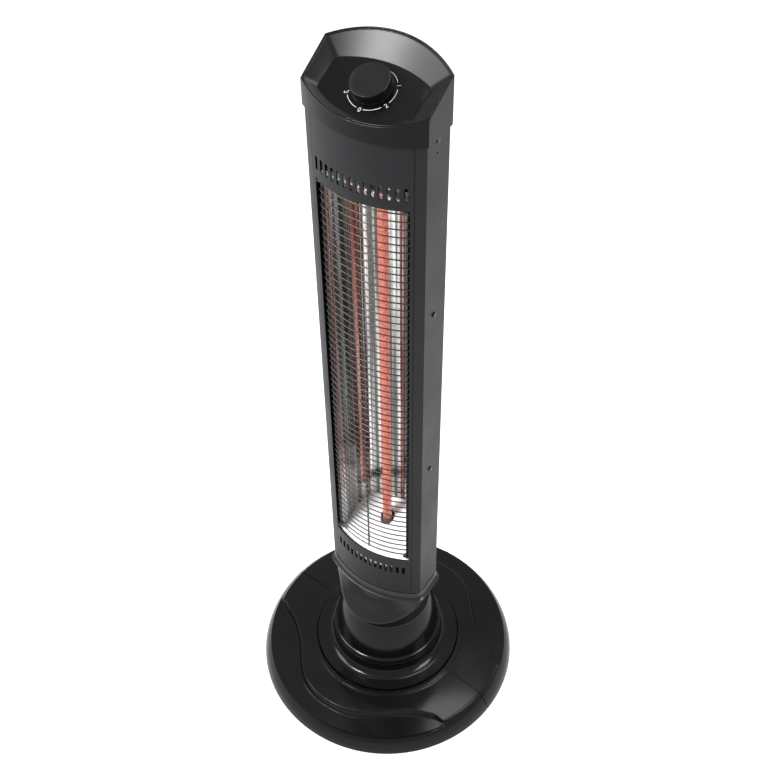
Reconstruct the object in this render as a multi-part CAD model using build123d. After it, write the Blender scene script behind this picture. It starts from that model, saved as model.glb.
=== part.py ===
from build123d import *
import os
from math import asin, cos, degrees, radians, sin, sqrt

# Infrared tower heater, in millimetres: Z is up, the heater looks towards -Y, and the origin is the middle
# of the round base, on the floor

# Tower section: two flat sides, and a front and a rear that are arcs of one radius
tower_width = 140.0
side_front_y = -25.4
side_rear_y = 18.0
bow_radius = 122.4
sheet = 1.4
fit = 0.2
tower_bottom = 217.5
tower_top = 961.0

# Front frame, its window and its slots
frame_width = 119.4
frame_top = 955.4
frame_wall = 1.8
frame_flange = 9.0
window_width = 112.0
window_bottom = 293.0
window_top = 879.0
slot_count = 14
slot_width = 4.0
upper_slot_length = 17.0
upper_slot_z = 898.5
upper_slot_span = 105.0
lower_slot_length = 15.0
lower_slot_z = 269.0
lower_slot_span = 100.0

# Grille
wire_diameter = 2.0
wire_pitch = 10.0
wire_first_z = 303.0
wire_last_z = 873.0
wire_bow_radius = 119.0
wire_straights = 9
weld_depth = 0.35
wire_span = 114.6
rod_diameter = 2.4
side_rod_x = 51.5
clip_size = 6.4
clip_arm = 1.1
clip_wall = 2.4

# Reflector, lamp and what holds them
reflector_wall = 0.8
reflector_mouth_x = 51.0
reflector_mouth_y = -29.0
reflector_knee_x = 46.5
reflector_knee_y = 2.0
reflector_shoulder_x = 35.0
reflector_shoulder_y = 20.0
reflector_back_x = 13.0
reflector_back_y = 29.0
end_slope = 0.7
floor_middle_z = 307.5
ceiling_middle_z = 864.5
plate_half_width = 57.4
lip_height = 7.0
lamp_y = 4.5
lamp_diameter = 12.0
lamp_wall = 1.0
lamp_bottom = 280.0
lamp_top = 915.0
filament_diameter = 4.5
seal_length = 12.0
holder_diameter = 19.0
holder_bottom = 264.0
holder_top = 306.0
upper_holder_bottom = 880.0
post_diameter = 8.0
lamp_hole_diameter = 19.6
shield_gap = 6.0
bracket_wall = 1.6
top_bracket_z = 930.0
bottom_bracket_z = 226.0
stand_radius = 30.0

# Side fasteners
side_screw_y = -6.0
lower_side_screw_z = 466.0
upper_side_screw_z = 726.0
cap_screw_z = 952.8
vent_hole_z = 938.0
screw_shank = 3.0
screw_head = 6.0
screw_head_height = 1.6

# Rear vents
rear_vent_count = 11
rear_vent_pitch = 8.0
rear_vent_length = 44.0
rear_vent_low_z = 262.0
rear_vent_high_z = 900.0

# Top cap, with its sloped rim, bowl and control panel
cap_overhang = 2.0
cap_bottom = 956.0
rim_z = 999.6
rim_slope = 0.537
rim_wall = 3.0
panel_z = 991.5
panel_slope = 0.40
panel_half_width = 54.0
panel_front_y = -41.0
panel_front_corner_y = -24.0
panel_rear_y = 20.5
panel_rear_corner_y = 9.0
panel_corner = 6.0
panel_wall = 2.5
ledge_width = 4.0
ledge_wall = 2.5
tab_width = 12.0
tab_wall = 2.0
tab_bottom = 946.0
tab_root = 4.0

# Knob and rotary switch
knob_y = -9.9
knob_radius = 20.4
knob_foot_radius = 21.6
knob_height = 13.9
knob_lift = 0.4
knob_chamfer = 1.0
shaft_diameter = 6.0
shaft_running = 0.05
shaft_reach = 9.0
switch_size = 24.0
switch_depth = 18.0

# Neck collar, between the tower and the round column
collar_grow = 2.7
collar_band_bottom = 203.0
collar_bottom = 133.3
collar_bore = 46.0
collar_bore_top = 205.0
lip_half_width = 69.5
lip_drop = 51.0

# Pedestal: a flared column on a flat disc
column_top = 133.0
column_top_radius = 60.6
column_foot_radius = 76.0
column_foot_z = 76.0
step_radius = 79.0
flare_radius = 14.0
disc_radius = 105.0
disc_top = 41.0
disc_bottom = 36.0
column_wall = 3.0

# Base: two half covers on a steel plate
base_radius = 187.0
base_rim_radius = 171.0
base_bottom = 3.0
rim_top = 32.0
crown_z = 36.0
trim_radius = 113.0
trim_top = 37.5
trim_inner_radius = 106.0
cover_wall = 3.0
wave_depth = 7.0
seam_angle = -7.0
seam_gap = 0.4
plate_radius = 178.0
plate_wall = 2.0
foot_circle = 160.0
foot_diameter = 22.0
foot_count = 6
weight_inner = 62.0
weight_outer = 136.0
weight_height = 14.0
ring_outer = 100.0
ring_inner = 88.0
motor_diameter = 56.0
motor_height = 22.0
swing_shaft_diameter = 10.0
hub_radius = 26.0
hub_height = 8.0
gland_diameter = 12.0
gland_bore = 7.0
gland_z = 13.0
glide = 0.3

# Size of the blocks that cut along a plane, larger than the heater
cutter_size = 3000.0

half_width = tower_width / 2
bow_depth = bow_radius - sqrt(bow_radius ** 2 - half_width ** 2)
front_centre_y = side_front_y - bow_depth + bow_radius
rear_centre_y = side_rear_y + bow_depth - bow_radius


def front_y(x, grow=0.0):
    """Y of the front bow at a distance x from the middle, on a section that is grown all round."""
    return front_centre_y - sqrt((bow_radius + grow) ** 2 - x ** 2)


def rear_y(x, grow=0.0):
    """Y of the rear bow at a distance x from the middle."""
    return rear_centre_y + sqrt((bow_radius + grow) ** 2 - x ** 2)


def barrel(grow=0.0, z=0.0):
    """The tower's section as a face at height z, grown by a distance on every side."""
    x = half_width + grow
    front = ThreePointArc((-x, front_y(x, grow), z), (0, front_y(0, grow), z), (x, front_y(x, grow), z))
    right = Line((x, front_y(x, grow), z), (x, rear_y(x, grow), z))
    rear = ThreePointArc((x, rear_y(x, grow), z), (0, rear_y(0, grow), z), (-x, rear_y(x, grow), z))
    left = Line((-x, rear_y(x, grow), z), (-x, front_y(x, grow), z))
    return Face(Wire([front, right, rear, left]))


def barrel_block(grow, bottom, top):
    """The tower's section, grown, as a solid between two heights."""
    return extrude(barrel(grow, bottom), amount=top - bottom, dir=(0, 0, 1))


def slab(x_size, y_from, y_to, z_from, z_to):
    """A block centred on X between two depths and two heights."""
    middle = (0, (y_from + y_to) / 2, (z_from + z_to) / 2)
    return Pos(*middle) * Box(x_size, y_to - y_from, z_to - z_from)


def round_bar(radius, z_from, z_to, x=0.0, y=0.0):
    """An upright cylinder between two heights."""
    return Pos(x, y, (z_from + z_to) / 2) * Cylinder(radius, z_to - z_from)


def tube(outer, inner, z_from, z_to, x=0.0, y=0.0):
    """An upright ring or tube between two heights."""
    return round_bar(outer, z_from, z_to, x, y) - round_bar(inner, z_from - 1, z_to + 1, x, y)


def slot_row(count, span, length, z, width, y_from, y_to):
    """A row of upright slots with round ends, cut straight through in Y."""
    pitch = span / (count - 1)
    outline = Plane.XZ * SlotOverall(length, width, rotation=90)
    cutter = extrude(outline, amount=y_to - y_from, dir=(0, 1, 0))
    return [Pos(-span / 2 + i * pitch, y_from, z) * cutter for i in range(count)]


def side_screw(side, z, head_x):
    """A pan-head screw that goes in from one side of the tower."""
    head = Pos(side * (head_x + screw_head_height / 2), side_screw_y, z) * Rot(0, 90, 0)
    head = head * Cylinder(screw_head / 2, screw_head_height)
    shank_length = 9.0
    shank = Pos(side * (head_x - shank_length / 2 + 0.1), side_screw_y, z) * Rot(0, 90, 0)
    return head + shank * Cylinder(screw_shank / 2, shank_length)


def side_hole(side, z, diameter):
    """The cutter for a hole through one side of the tower."""
    return Pos(side * half_width, side_screw_y, z) * Rot(0, 90, 0) * Cylinder(diameter / 2, 12)


# Tower shells
def make_housing_shell():
    """Folded steel: two sides, a bowed rear and a strip of the bowed front at each side."""
    shell = barrel_block(0, tower_bottom, tower_top) - barrel_block(-sheet, tower_bottom - 1, tower_top + 1)
    shell -= slab(frame_width + 2 * fit, -200, 0, tower_bottom - 1, tower_top + 1)
    for z in (rear_vent_low_z, rear_vent_high_z):
        span = rear_vent_pitch * (rear_vent_count - 1)
        shell -= slot_row(rear_vent_count, span, rear_vent_length, z, slot_width, 0, 100)
    for side in (-1, 1):
        for z in (lower_side_screw_z, upper_side_screw_z, cap_screw_z):
            shell -= side_hole(side, z, screw_shank + 2 * fit)
        shell -= side_hole(side, vent_hole_z, screw_shank)
    return shell


def make_front_frame():
    """The bowed front with its window, its two rows of slots and a flange along each side."""
    x = frame_width / 2
    skin = barrel_block(0, tower_bottom, frame_top)
    skin -= barrel_block(-frame_wall, tower_bottom - 1, frame_top + 1)
    skin &= slab(frame_width, -200, 0, tower_bottom, frame_top)
    skin -= slab(window_width, -200, 0, window_bottom, window_top)
    for side in (-1, 1):
        deep = front_y(x) + frame_flange
        flange = barrel_block(-frame_wall + 0.2, tower_bottom, frame_top)
        flange &= Pos(side * (x - 0.6), (deep - 100) / 2, (tower_bottom + frame_top) / 2) * Box(
            1.2, deep + 100, frame_top - tower_bottom)
        skin += flange
    skin -= slot_row(slot_count, upper_slot_span, upper_slot_length, upper_slot_z, slot_width, -100, 0)
    skin -= slot_row(slot_count, lower_slot_span, lower_slot_length, lower_slot_z, slot_width, -100, 0)
    return skin


# Grille
def make_wire():
    """One wire, square in section, bowed in short straights about the same upright line as the front."""
    half_turn = wire_span / 2 / wire_bow_radius
    turns = [half_turn * (2 * i / wire_straights - 1) for i in range(wire_straights + 1)]
    outer = [((wire_bow_radius + wire_diameter / 2), t) for t in turns]
    inner = [((wire_bow_radius - wire_diameter / 2), t) for t in reversed(turns)]
    points = [(r * sin(t), front_centre_y - r * cos(t)) for r, t in outer + inner]
    outline = Polyline(*points, close=True)
    return Pos(0, 0, -wire_diameter / 2) * extrude(Face(Wire(outline.edges())), amount=wire_diameter)


def rod_y(x):
    """Depth of a rod's axis, so that it touches the back of the wires."""
    back = wire_bow_radius - wire_diameter / 2 - rod_diameter / 2 + weld_depth
    return front_centre_y - sqrt(back ** 2 - x ** 2)


def make_rod(x, low, high):
    """An upright rod behind the wires, turned to face along the bow."""
    rod = Box(rod_diameter, rod_diameter, high - low)
    return Pos(x, rod_y(x), (low + high) / 2) * Rot(0, 0, degrees(asin(x / wire_bow_radius))) * rod


def make_grille():
    """Bowed wires welded across a middle rod and a rod at each side."""
    count = round((wire_last_z - wire_first_z) / wire_pitch) + 1
    wire = make_wire()
    wires = [Pos(0, 0, wire_first_z + i * wire_pitch) * wire for i in range(count)]
    low = wire_first_z - 5
    high = wire_last_z + 5
    rods = [make_rod(x, low, high) for x in (-side_rod_x, 0, side_rod_x)]
    return rods[0] + rods[1:] + wires


def make_grille_clips():
    """Four folded clips, on the side rods just past the first and last wires."""
    clips = []
    for side in (-1, 1):
        for z in (wire_first_z - 3, wire_last_z + 3):
            back = reflector_mouth_y - fit
            hook = Pos(side * side_rod_x, (back - 0.9 * clip_size) + 0.45 * clip_size, z)
            clip = hook * Box(clip_size, 0.9 * clip_size, clip_wall)
            arm_x = (side_rod_x + frame_width / 2 - 1.4) / 2
            arm = Pos(side * arm_x, back - clip_arm / 2, z)
            clip += arm * Box(2 * (arm_x - side_rod_x), clip_arm, clip_wall)
            seat = rod_diameter / 2 * sqrt(2) + 0.05
            clip -= round_bar(seat, z - 9, z + 9, side * side_rod_x, rod_y(side_rod_x))
            clips.append(clip)
    return Compound(children=clips)


# Reflector and lamp
def reflector_line(inset=0.0):
    """The points of the reflector's section, from its left edge round the back to its right edge."""
    right = [
        (reflector_back_x, reflector_back_y - inset),
        (reflector_shoulder_x - inset * 0.6, reflector_shoulder_y - inset * 0.8),
        (reflector_knee_x - inset, reflector_knee_y),
        (reflector_mouth_x - inset, reflector_mouth_y),
    ]
    left = [(-x, y) for x, y in reversed(right)]
    return left + right


def reflector_fill(inset, z_from, z_to):
    """What lies inside the reflector's section, as a solid between two heights."""
    outline = Polyline(*[(x, y, z_from) for x, y in reflector_line(inset)], close=True)
    return extrude(Face(Wire(outline.edges())), amount=z_to - z_from, dir=(0, 0, 1))


def make_reflector():
    """A bright sheet folded into a trough of seven flats, cut on the slant at both ends."""
    trough = reflector_fill(0, tower_bottom, top_bracket_z)
    trough -= reflector_fill(reflector_wall, tower_bottom - 1, top_bracket_z + 1)
    trough -= slab(2 * (reflector_mouth_x - reflector_wall) - 1, reflector_mouth_y - 5,
                   reflector_mouth_y + 5, tower_bottom - 1, top_bracket_z + 1)
    trough -= below(floor_middle_z + fit, end_slope)
    return trough - above(ceiling_middle_z - fit, -end_slope)


def reflector_end(middle_z, slope):
    """A bright plate on the slant across one end of the trough, with the lamp's hole."""
    plate = reflector_fill(-2.0, tower_bottom, top_bracket_z)
    mouth = barrel_block(-frame_wall - fit, tower_bottom, top_bracket_z)
    mouth &= slab(2 * plate_half_width, -60, reflector_mouth_y + 2, tower_bottom, top_bracket_z)
    plate += mouth
    plate -= above(middle_z, slope)
    plate -= below(middle_z - bracket_wall, slope)
    return plate - round_bar(lamp_hole_diameter / 2, tower_bottom, top_bracket_z, 0, lamp_y)


def make_reflector_floor():
    """The lower plate, with a lip turned down behind the lower slots."""
    lip = barrel_block(-frame_wall - fit, tower_bottom, floor_middle_z)
    lip -= barrel_block(-frame_wall - fit - reflector_wall, tower_bottom - 1, floor_middle_z + 1)
    lip &= slab(2 * plate_half_width, -60, reflector_mouth_y, tower_bottom, floor_middle_z)
    lip -= above(floor_middle_z - 0.5, end_slope)
    lip -= below(floor_middle_z - lip_height, end_slope)
    return reflector_end(floor_middle_z, end_slope) + lip


def make_reflector_ceiling():
    return reflector_end(ceiling_middle_z + bracket_wall, -end_slope)


def make_lamp_tube():
    """A quartz tube, open at both ends."""
    radius = lamp_diameter / 2
    return tube(radius, radius - lamp_wall, lamp_bottom, lamp_top, 0, lamp_y)


def make_lamp_filament():
    """The carbon heating rod between the two end seals."""
    low = lamp_bottom + seal_length + 0.2
    high = lamp_top - seal_length - 0.2
    return round_bar(filament_diameter / 2, low, high, 0, lamp_y)


def make_lamp_end_caps():
    """Two ceramic seals inside the ends of the quartz tube."""
    radius = lamp_diameter / 2 - lamp_wall - 0.05
    low = round_bar(radius, lamp_bottom, lamp_bottom + seal_length, 0, lamp_y)
    high = round_bar(radius, lamp_top - seal_length, lamp_top, 0, lamp_y)
    return Compound(children=[low, high])


def make_lamp_holders():
    """A ceramic cup on a post at the foot of the lamp, and a cup that hangs from the upper plate."""
    low = round_bar(holder_diameter / 2, holder_bottom, holder_top, 0, lamp_y)
    low -= round_bar(lamp_diameter / 2 + 0.1, lamp_bottom, holder_top + 1, 0, lamp_y)
    floor = bottom_bracket_z + bracket_wall + fit
    low += round_bar(post_diameter / 2, floor, holder_bottom + 0.1, 0, lamp_y)
    high = round_bar(holder_diameter / 2, upper_holder_bottom, top_bracket_z - fit, 0, lamp_y)
    high -= round_bar(lamp_diameter / 2 + 0.1, upper_holder_bottom - 1, lamp_top, 0, lamp_y)
    return Compound(children=[low, high])


def make_heat_shield():
    """A bent sheet between the back of the reflector and the rear of the housing."""
    wide = 2 * reflector_back_x + 12
    y = reflector_back_y + 0.3
    low = floor_middle_z + end_slope * (y + shield_gap)
    high = ceiling_middle_z - end_slope * (y + shield_gap)
    sheet_plate = slab(wide, y, y + 1.0, low, high)
    for side in (-1, 1):
        leg = Pos(side * (wide / 2 - 0.5), y + shield_gap / 2, (low + high) / 2)
        sheet_plate += leg * Box(1.0, shield_gap, high - low)
    return sheet_plate


# Inside the tower, above and below the window
def bracket(z):
    """A pressed plate across the tower, with a flange at each side that the side screws could take."""
    plate = barrel_block(-sheet - fit, z, z + bracket_wall)
    front = front_y(frame_width / 2) + frame_flange + fit
    return plate & slab(tower_width, front, 60, z, z + bracket_wall)


def make_top_bracket():
    return bracket(top_bracket_z) - round_bar(4, top_bracket_z - 1, top_bracket_z + 9, 30, 0)


def make_bottom_bracket():
    """The lower plate, which stands on the collar on a ring."""
    plate = bracket(bottom_bracket_z)
    plate += tube(stand_radius, stand_radius - 4, tower_bottom, bottom_bracket_z + 0.1)
    return plate - round_bar(6, bottom_bracket_z - 1, bottom_bracket_z + 9, 0, -14)


def make_thermal_cutout():
    """A round thermostat on the upper plate."""
    top = top_bracket_z - 0.2
    body = round_bar(7, top - 9, top, 30, -14)
    return body + Pos(30, -14, top - 11) * Box(12, 3, 5)


def make_terminal_block():
    """A three-way terminal block on the lower plate."""
    floor = bottom_bracket_z + bracket_wall + 0.2
    block = Pos(-32, 0, floor + 6) * Box(14, 30, 12)
    for i in range(3):
        block -= round_bar(2.2, floor + 5, floor + 20, -32, -9 + 9 * i)
    return block


def make_tilt_switch():
    """The sealed switch that opens when the heater tips over."""
    floor = bottom_bracket_z + bracket_wall + 0.2
    return Pos(32, 0, floor + 11) * Box(16, 24, 22)


# Sloped planes at the top
def lean(slope):
    """Direction square to a plane that rises towards the rear by a slope."""
    size = sqrt(1 + slope ** 2)
    return (0, -slope / size, 1 / size)


def sloped_face(z0, slope, x, y_front_corner, y_front, y_rear_corner, y_rear, corner=0.0):
    """A four-sided bowed outline laid on a sloped plane."""
    def on(px, py):
        return (px, py, z0 + slope * py)
    front = ThreePointArc(on(-x, y_front_corner), on(0, y_front), on(x, y_front_corner))
    right = Line(on(x, y_front_corner), on(x, y_rear_corner))
    rear = ThreePointArc(on(x, y_rear_corner), on(0, y_rear), on(-x, y_rear_corner))
    left = Line(on(-x, y_rear_corner), on(-x, y_front_corner))
    face = Face(Wire([front, right, rear, left]))
    return face.fillet_2d(corner, face.vertices()) if corner else face


def panel_face(shrink=0.0, drop=0.0):
    """The control panel's outline, made smaller all round and lowered."""
    return sloped_face(panel_z - drop, panel_slope, panel_half_width - shrink,
                       panel_front_corner_y + shrink, panel_front_y + shrink,
                       panel_rear_corner_y - shrink, panel_rear_y - shrink, panel_corner)


def below(z0, slope):
    """A large solid under a sloped plane, to cut with."""
    plane = Plane(origin=(0, 0, z0), x_dir=(1, 0, 0), z_dir=lean(slope))
    return plane * Pos(0, 0, -cutter_size / 2) * Box(cutter_size, cutter_size, cutter_size)


def above(z0, slope):
    """A large solid over a sloped plane, to cut with."""
    plane = Plane(origin=(0, 0, z0), x_dir=(1, 0, 0), z_dir=lean(slope))
    return plane * Pos(0, 0, cutter_size / 2) * Box(cutter_size, cutter_size, cutter_size)


def make_top_cap():
    """A moulded cap: a skirt over the tower, a sloped rim and a bowl round the control panel."""
    cap = barrel_block(cap_overhang, cap_bottom, rim_z + rim_slope * 60)
    cap -= above(rim_z, rim_slope)
    rim_x = half_width + cap_overhang - rim_wall
    grow = cap_overhang - rim_wall
    mouth = sloped_face(rim_z + 0.2, rim_slope, rim_x, front_y(rim_x, grow), front_y(0, grow),
                        rear_y(rim_x, grow), rear_y(0, grow), panel_corner)
    cap -= loft([panel_face(), mouth])
    seat = panel_wall + 0.1
    cap -= extrude(panel_face(0, seat), amount=seat + 0.5, dir=lean(panel_slope))
    room = barrel_block(-1.0, cap_bottom - 1, rim_z + rim_slope * 60)
    room -= above(panel_z - seat - ledge_wall, panel_slope)
    cap -= room
    cap -= barrel_block(fit, cap_bottom - 1, tower_top + fit)
    hole = extrude(panel_face(ledge_width, seat + 12), amount=20, dir=lean(panel_slope))
    cap -= hole
    for side in (-1, 1):
        cap += cap_tab(side)
        cap -= side_hole(side, cap_screw_z, screw_shank + 2 * fit)
    return cap


def cap_tab(side):
    """A tab that hangs from the cap's wall inside the housing and takes a screw through its side."""
    inner = half_width - sheet - fit - tab_wall
    top = tower_top + 2 * fit + tab_root
    tab = Pos(side * (inner + tab_wall / 2), side_screw_y, (tab_bottom + top) / 2)
    tab = tab * Box(tab_wall, tab_width, top - tab_bottom)
    root = Pos(side * (inner + half_width) / 2, side_screw_y, top - tab_root / 2)
    return tab + root * Box(half_width - inner, tab_width, tab_root)


def make_control_panel():
    """The sloped plate at the bottom of the bowl, with a hole for the switch shaft."""
    plate = extrude(panel_face(fit, panel_wall), amount=panel_wall, dir=lean(panel_slope))
    return plate - knob_place() * Cylinder(shaft_diameter / 2 + 0.6, 30)


def knob_place():
    """The knob's place: on the panel's surface, square to it."""
    origin = (0, knob_y, panel_z + panel_slope * knob_y)
    return Plane(origin=origin, x_dir=(1, 0, 0), z_dir=lean(panel_slope)).location


def make_knob():
    """A round knob that widens a little downwards, with a chamfered top edge and a blind bore."""
    top = knob_lift + knob_height
    bore = shaft_diameter / 2
    outline = Polyline((bore, knob_lift), (knob_foot_radius, knob_lift), (knob_radius, top - knob_chamfer),
                       (knob_radius - knob_chamfer, top), (0, top), (0, shaft_reach), (bore, shaft_reach),
                       close=True)
    face = Plane.XZ * Face(Wire(outline.edges()))
    return knob_place() * revolve(face, Axis.Z)


def make_switch_shaft():
    """The shaft that joins the knob to the rotary switch."""
    low = -panel_wall - switch_depth + 4
    return knob_place() * round_bar(shaft_diameter / 2, low, shaft_reach)


def make_rotary_switch():
    """The rotary switch behind the panel, with its neck and a bore for the shaft."""
    top = -panel_wall - 0.1
    body = round_bar(switch_size / 2, top - switch_depth, top)
    body -= round_bar(shaft_diameter / 2 + shaft_running, top - switch_depth + 3, top + 1)
    return knob_place() * body


# Screws of the tower
def make_side_screws():
    heights = (lower_side_screw_z, upper_side_screw_z)
    screws = [side_screw(s, z, half_width) for s in (-1, 1) for z in heights]
    return Compound(children=screws)


def make_cap_screws():
    screws = [side_screw(s, cap_screw_z, half_width) for s in (-1, 1)]
    return Compound(children=screws)


# Neck collar
def neck_section(z, x, front, rear, front_corner, rear_corner, side_bulge):
    """A section of the neck: four arcs through eight points."""
    front_arc = ThreePointArc((-x, front_corner, z), (0, front, z), (x, front_corner, z))
    middle = (front_corner + rear_corner) / 2
    right = ThreePointArc((x, front_corner, z), (x + side_bulge, middle, z), (x, rear_corner, z))
    rear_arc = ThreePointArc((x, rear_corner, z), (0, rear, z), (-x, rear_corner, z))
    left = ThreePointArc((-x, rear_corner, z), (-x - side_bulge, middle, z), (-x, front_corner, z))
    return Face(Wire([front_arc, right, rear_arc, left]))


def round_section(z, radius):
    """A round section, cut into the same four arcs."""
    a = radians(24)
    x = radius * cos(a)
    y = radius * sin(a)
    return neck_section(z, x, -radius, radius, -y, y, radius - x)


def neck_top(z, grow):
    """The tower's section, grown, as the top of the neck."""
    x = half_width + grow
    return neck_section(z, x, front_y(0, grow), rear_y(0, grow), front_y(x, grow), rear_y(x, grow), 0.4)


def make_neck_collar():
    """A moulded neck: the tower's section at the top, round at the foot, with a scoop cut in its front."""
    low_radius = column_top_radius + 0.9
    band_top = neck_top(tower_bottom - 0.2, collar_grow)
    band_low = neck_top(collar_band_bottom, collar_grow - 1.4)
    waist = neck_section(collar_band_bottom - 28, 66, -58, 52, -28, 22, 3.0)
    foot = round_section(collar_bottom, low_radius)
    neck = loft([foot, round_section(collar_bottom + 16, low_radius + 1.2), waist, band_low])
    neck += loft([band_low, band_top], ruled=True)
    lip = Ellipse(lip_half_width, lip_drop)
    scoop = extrude(Plane.XZ * lip, amount=90, dir=(0, -1, 0))
    scoop = Pos(0, 0, collar_band_bottom) * scoop
    scoop -= above(collar_band_bottom, 0)
    back_top = neck_section(collar_band_bottom, half_width - 1.2, front_y(0) + 7, 30,
                            front_y(half_width) + 2, 10, 0.4)
    back_mid = neck_section(collar_band_bottom - 28, 64, -49, 30, -24, 10, 1.0)
    back_low = neck_section(collar_band_bottom - lip_drop - 3, 56, -60, 30, -24, 10, 2.0)
    scoop -= loft([back_low, back_mid, back_top])
    neck -= scoop
    neck -= round_bar(collar_bore, collar_bottom - 1, collar_bore_top - 60)
    neck -= round_bar(collar_bore - 8, collar_bottom - 1, collar_bore_top)
    neck -= round_bar(10, collar_bottom, tower_bottom + 1)
    for angle in range(45, 360, 90):
        neck -= Rot(0, 0, angle) * round_bar(screw_shank / 2 - 0.1, collar_bottom - 1, collar_bottom + 8, 52)
    return neck


# Pedestal
def make_pedestal():
    """A column that widens downwards, a step ring, a flared foot and a flat disc, hollow from below."""
    side = ThreePointArc((column_top_radius, column_top), (69.5, 107), (column_foot_radius, column_foot_z))
    flare_top = disc_top + flare_radius
    flare_x = step_radius + flare_radius
    outer = [
        side,
        Line((column_foot_radius, column_foot_z), (step_radius, column_foot_z - 2)),
        Line((step_radius, column_foot_z - 2), (step_radius, flare_top)),
        JernArc((step_radius, flare_top), (0, -1), flare_radius, 90),
        Line((flare_x, disc_top), (disc_radius, disc_top)),
    ]
    w = column_wall
    inner = Polyline((disc_radius, disc_top), (disc_radius, disc_bottom), (hub_radius - 8, disc_bottom),
                     (hub_radius - 8, disc_bottom + w), (column_foot_radius - w, disc_bottom + w),
                     (column_foot_radius - w - 1, column_foot_z), (69.5 - w, 106), (62.5 - w, 120),
                     (column_top_radius - w - 2, column_top - 6), (20, column_top - 6), (20, column_top),
                     (column_top_radius, column_top))
    face = Plane.XZ * Face(Wire(outer + list(inner.edges())))
    shape = revolve(face, Axis.Z)
    for angle in range(45, 360, 90):
        shape -= Rot(0, 0, angle) * round_bar(screw_shank / 2 + fit, column_top - 8, column_top + 1, 52)
    return shape


def make_column_screws():
    """Four screws that hold the collar on the column, from below."""
    screws = []
    for angle in range(45, 360, 90):
        floor = column_top - 6
        screw = round_bar(screw_head / 2, floor - 2, floor - 0.02, 52)
        screw += round_bar(screw_shank / 2 - 0.2, floor - 1, floor + 12, 52)
        screws.append(Rot(0, 0, angle) * screw)
    return Compound(children=screws)


def make_swivel_hub():
    """The hub on the motor's shaft, which carries the pedestal round."""
    top = disc_bottom + column_wall + 3
    hub = round_bar(hub_radius, disc_bottom + column_wall + 0.02, top)
    hub += round_bar(hub_radius - 8.2, disc_bottom - hub_height + 3, top)
    return hub - round_bar(swing_shaft_diameter / 2 + 0.02, 0, top - 2)


def make_swing_shaft():
    """The motor's output shaft, pressed into the hub."""
    return round_bar(swing_shaft_diameter / 2, base_bottom + plate_wall + 6, disc_bottom + column_wall)


# Base
def wave_cutter():
    """What lies outside the wave line of the front half: the crescent that is lower than the dome."""
    line = [(-31, 180), (-36, 154), (-44, 143), (-57, 138), (-72, 143), (-90, 149), (-106, 149),
            (-121, 142), (-137, 134), (-150, 138), (-159, 150), (-166, 173)]
    points = [(r * cos(radians(a)), r * sin(radians(a))) for a, r in line]
    wave = Spline(*points)
    closing = ThreePointArc(points[-1], (0, -260), points[0])
    return extrude(Face(Wire([wave, closing])), amount=60, dir=(0, 0, 1))


def cover_disc():
    """Both half covers as one hollow dish, before they are parted."""
    w = cover_wall
    outer = [
        Line((base_radius, base_bottom), (base_radius - 1, base_bottom + 5)),
        ThreePointArc((base_radius - 1, base_bottom + 5), (base_radius - 6, 20),
                      (base_rim_radius + 2, rim_top)),
        Line((base_rim_radius + 2, rim_top), (base_rim_radius - 2, rim_top + 0.6)),
        ThreePointArc((base_rim_radius - 2, rim_top + 0.6), (142, rim_top + 3.6), (trim_radius, crown_z)),
    ]
    inner = Polyline((trim_radius, crown_z), (trim_radius, trim_top), (trim_inner_radius, trim_top),
                     (trim_inner_radius, crown_z - w - 3), (weight_outer + 4, rim_top - wave_depth - w),
                     (base_rim_radius - w - 2, rim_top - wave_depth - w),
                     (base_radius - w - 4, base_bottom + 6), (base_radius - w - 2, base_bottom),
                     (base_radius, base_bottom))
    return revolve(Plane.XZ * Face(Wire(outer + list(inner.edges()))), Axis.Z)


def crescent_top():
    """The lowered surface outside the wave, as a solid over it that reaches past the dome."""
    low = rim_top - wave_depth
    outline = Polyline((trim_radius, low + 3), (base_rim_radius + 1, low + 1),
                       (base_rim_radius + 7.5, low + 1), (base_rim_radius + 2.5, rim_top + 0.2),
                       (base_rim_radius + 2.5, 60), (trim_radius, 60), close=True)
    return revolve(Plane.XZ * Face(Wire(outline.edges())), Axis.Z)


def make_base_cover(turn):
    """One half cover, turned about the middle."""
    half = cover_disc() & (Pos(0, -150, 30) * Box(400, 300 - seam_gap, 80))
    half = Rot(0, 0, seam_angle) * half
    half -= wave_cutter() & crescent_top()
    for angle in screw_angles():
        half += Rot(0, 0, angle + seam_angle) * cover_boss()
    return Rot(0, 0, turn) * half


def screw_angles():
    """Directions of the three base screws of one half, from the seam."""
    return (-30, -90, -150)


def cover_boss():
    """A boss under the cover that takes a screw from below."""
    floor = base_bottom + plate_wall + 0.1
    boss = round_bar(5, floor, rim_top - wave_depth - cover_wall + 1, 150)
    return boss - round_bar(screw_shank / 2 - 0.1, floor - 1, floor + 12, 150)


def make_base_plate():
    """The steel plate under the base."""
    plate = round_bar(plate_radius, base_bottom, base_bottom + plate_wall)
    for turn in (0, 180):
        for angle in screw_angles():
            plate -= Rot(0, 0, angle + seam_angle + turn) * round_bar(screw_shank / 2 + fit, 0, 20, 150)
    return plate


def make_base_screws():
    """Six screws from below, three into each half cover."""
    screws = []
    for turn in (0, 180):
        for angle in screw_angles():
            screw = round_bar(screw_head / 2, base_bottom - 1.8, base_bottom - 0.02, 150)
            screw += round_bar(screw_shank / 2 - 0.2, base_bottom - 1, base_bottom + 11, 150)
            screws.append(Rot(0, 0, angle + seam_angle + turn) * screw)
    return Compound(children=screws)


def make_rubber_feet():
    """Six round feet under the plate."""
    feet = []
    for i in range(foot_count):
        turn = Rot(0, 0, i * 360 / foot_count)
        feet.append(turn * round_bar(foot_diameter / 2, 0, base_bottom - 0.02, foot_circle))
    return Compound(children=feet)


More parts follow.
